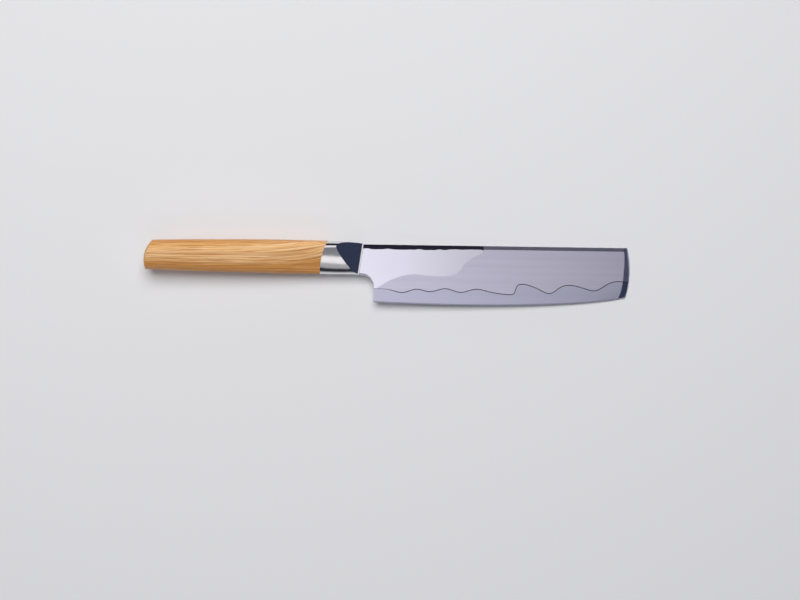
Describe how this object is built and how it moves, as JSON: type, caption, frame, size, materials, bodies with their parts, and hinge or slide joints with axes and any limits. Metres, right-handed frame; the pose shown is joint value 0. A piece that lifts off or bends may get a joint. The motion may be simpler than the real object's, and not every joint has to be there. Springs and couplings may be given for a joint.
{
  "type": "nakiri knife",
  "caption": "Japanese-style vegetable knife with a straight, square-fronted two-steel blade, a scooped steel bolster and an egg-shaped wooden handle.",
  "frame": {"origin": "middle of the bounding box, on the lowest plane of the handle as the knife lies flat", "axes": "+X from the butt of the handle to the front of the blade, +Y from the cutting edge to the spine, +Z square to the blade"},
  "size_m": [0.314, 0.0408, 0.0177],
  "materials": {
    "spine_steel": "polished towards the handle, satin towards the front",
    "edge_steel": "satin, brushed lengthwise",
    "braze_filler": "darkened, matt",
    "bolster_steel": "mirror polished",
    "tang_steel": "as ground",
    "bedding_epoxy": "cured resin",
    "handle_wood": "fine straight grain, sealed with resin, semi-matt"
  },
  "bodies": {
    "root": {"blade_body": "spine_steel", "cutting_edge": "edge_steel", "braze_seam": "braze_filler", "bolster": "bolster_steel", "tang": "tang_steel", "tang_bedding": "bedding_epoxy", "handle_grip": "handle_wood"}
  },
  "joints": []
}
